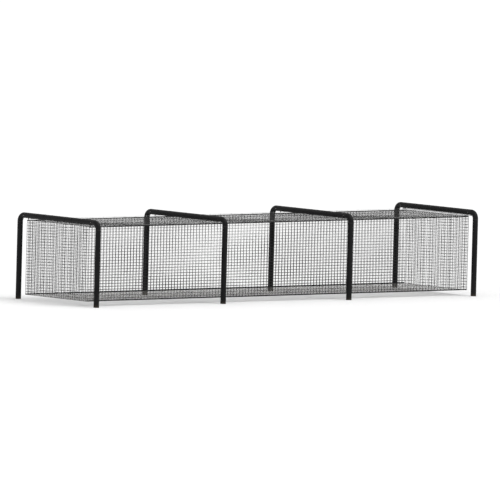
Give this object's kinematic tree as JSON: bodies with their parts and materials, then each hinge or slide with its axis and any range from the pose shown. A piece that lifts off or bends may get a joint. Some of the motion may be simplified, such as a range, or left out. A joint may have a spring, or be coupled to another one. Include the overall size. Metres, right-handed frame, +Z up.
{
  "type": "batting cage",
  "caption": "Long net cage for batting practice: steel tube arches in a row carry tensioned cables and a hung net, with a sliding net curtain as the way in at one end.",
  "frame": {"origin": "middle of the cage's footprint, on the plane of the post feet", "axes": "+Z up, +X along the cage from the turnbuckle end to the curtain end, +Y across it to the far side"},
  "size_m": [21.5804, 5.7344, 3.8223],
  "materials": {
    "frame_paint": "satin black powder coat on steel tube, slightly worn at edges",
    "galvanised_steel": "galvanised steel, mottled and semi-matt",
    "cable_wire": "stranded galvanised wire rope",
    "netting": "black twisted polymer twine, tarred, in square mesh"
  },
  "bodies": {
    "cage": {"frame_1_near_foot_cap": "frame_paint", "frame_1_near_post": "frame_paint", "frame_1_near_corner": "frame_paint", "frame_1_near_lug": "frame_paint", "frame_1_far_foot_cap": "frame_paint", "frame_1_far_post": "frame_paint", "frame_1_far_corner": "frame_paint", "frame_1_far_lug": "frame_paint", "frame_1_beam": "frame_paint", "frame_2_near_foot_cap": "frame_paint", "frame_2_near_post": "frame_paint", "frame_2_near_corner": "frame_paint", "frame_2_near_lug": "frame_paint", "frame_2_far_foot_cap": "frame_paint", "frame_2_far_post": "frame_paint", "frame_2_far_corner": "frame_paint", "frame_2_far_lug": "frame_paint", "frame_2_beam": "frame_paint", "frame_3_near_foot_cap": "frame_paint", "frame_3_near_post": "frame_paint", "frame_3_near_corner": "frame_paint", "frame_3_near_lug": "frame_paint", "frame_3_far_foot_cap": "frame_paint", "frame_3_far_post": "frame_paint", "frame_3_far_corner": "frame_paint", "frame_3_far_lug": "frame_paint", "frame_3_beam": "frame_paint", "frame_4_near_foot_cap": "frame_paint", "frame_4_near_post": "frame_paint", "frame_4_near_corner": "frame_paint", "frame_4_near_lug": "frame_paint", "frame_4_far_foot_cap": "frame_paint", "frame_4_far_post": "frame_paint", "frame_4_far_corner": "frame_paint", "frame_4_far_lug": "frame_paint", "frame_4_beam": "frame_paint", "near_turnbuckle_eye": "galvanised_steel", "near_turnbuckle_stud": "galvanised_steel", "near_cable": "cable_wire", "near_cable_terminal": "galvanised_steel", "far_turnbuckle_eye": "galvanised_steel", "far_turnbuckle_stud": "galvanised_steel", "far_cable": "cable_wire", "far_cable_terminal": "galvanised_steel", "net_near_wall": "netting", "net_far_wall": "netting", "net_roof": "netting", "net_floor": "netting", "net_left_end": "netting", "net_right_end": "netting", "curtain_rail": "galvanised_steel", "curtain_rail_near_hanger": "frame_paint", "curtain_rail_far_hanger": "frame_paint"},
    "near_turnbuckle": {"near_turnbuckle_body": "galvanised_steel"},
    "far_turnbuckle": {"far_turnbuckle_body": "galvanised_steel"},
    "entry_curtain": {"entry_curtain": "netting", "curtain_ring_1": "galvanised_steel", "curtain_ring_2": "galvanised_steel", "curtain_ring_3": "galvanised_steel", "curtain_ring_4": "galvanised_steel"}
  },
  "joints": [
    {"name": "entry_curtain_slide", "type": "slide", "parent": "cage", "child": "entry_curtain", "axis": [0, 1, 0], "range_m": [0, 1.2]},
    {"name": "near_turnbuckle_turn", "type": "hinge", "parent": "cage", "child": "near_turnbuckle", "pos_m": [-10.418, -2.17, 3.545], "axis": [1, 0, 0], "continuous": true},
    {"name": "far_turnbuckle_turn", "type": "hinge", "parent": "cage", "child": "far_turnbuckle", "pos_m": [-10.418, 2.17, 3.545], "axis": [1, 0, 0], "continuous": true}
  ]
}
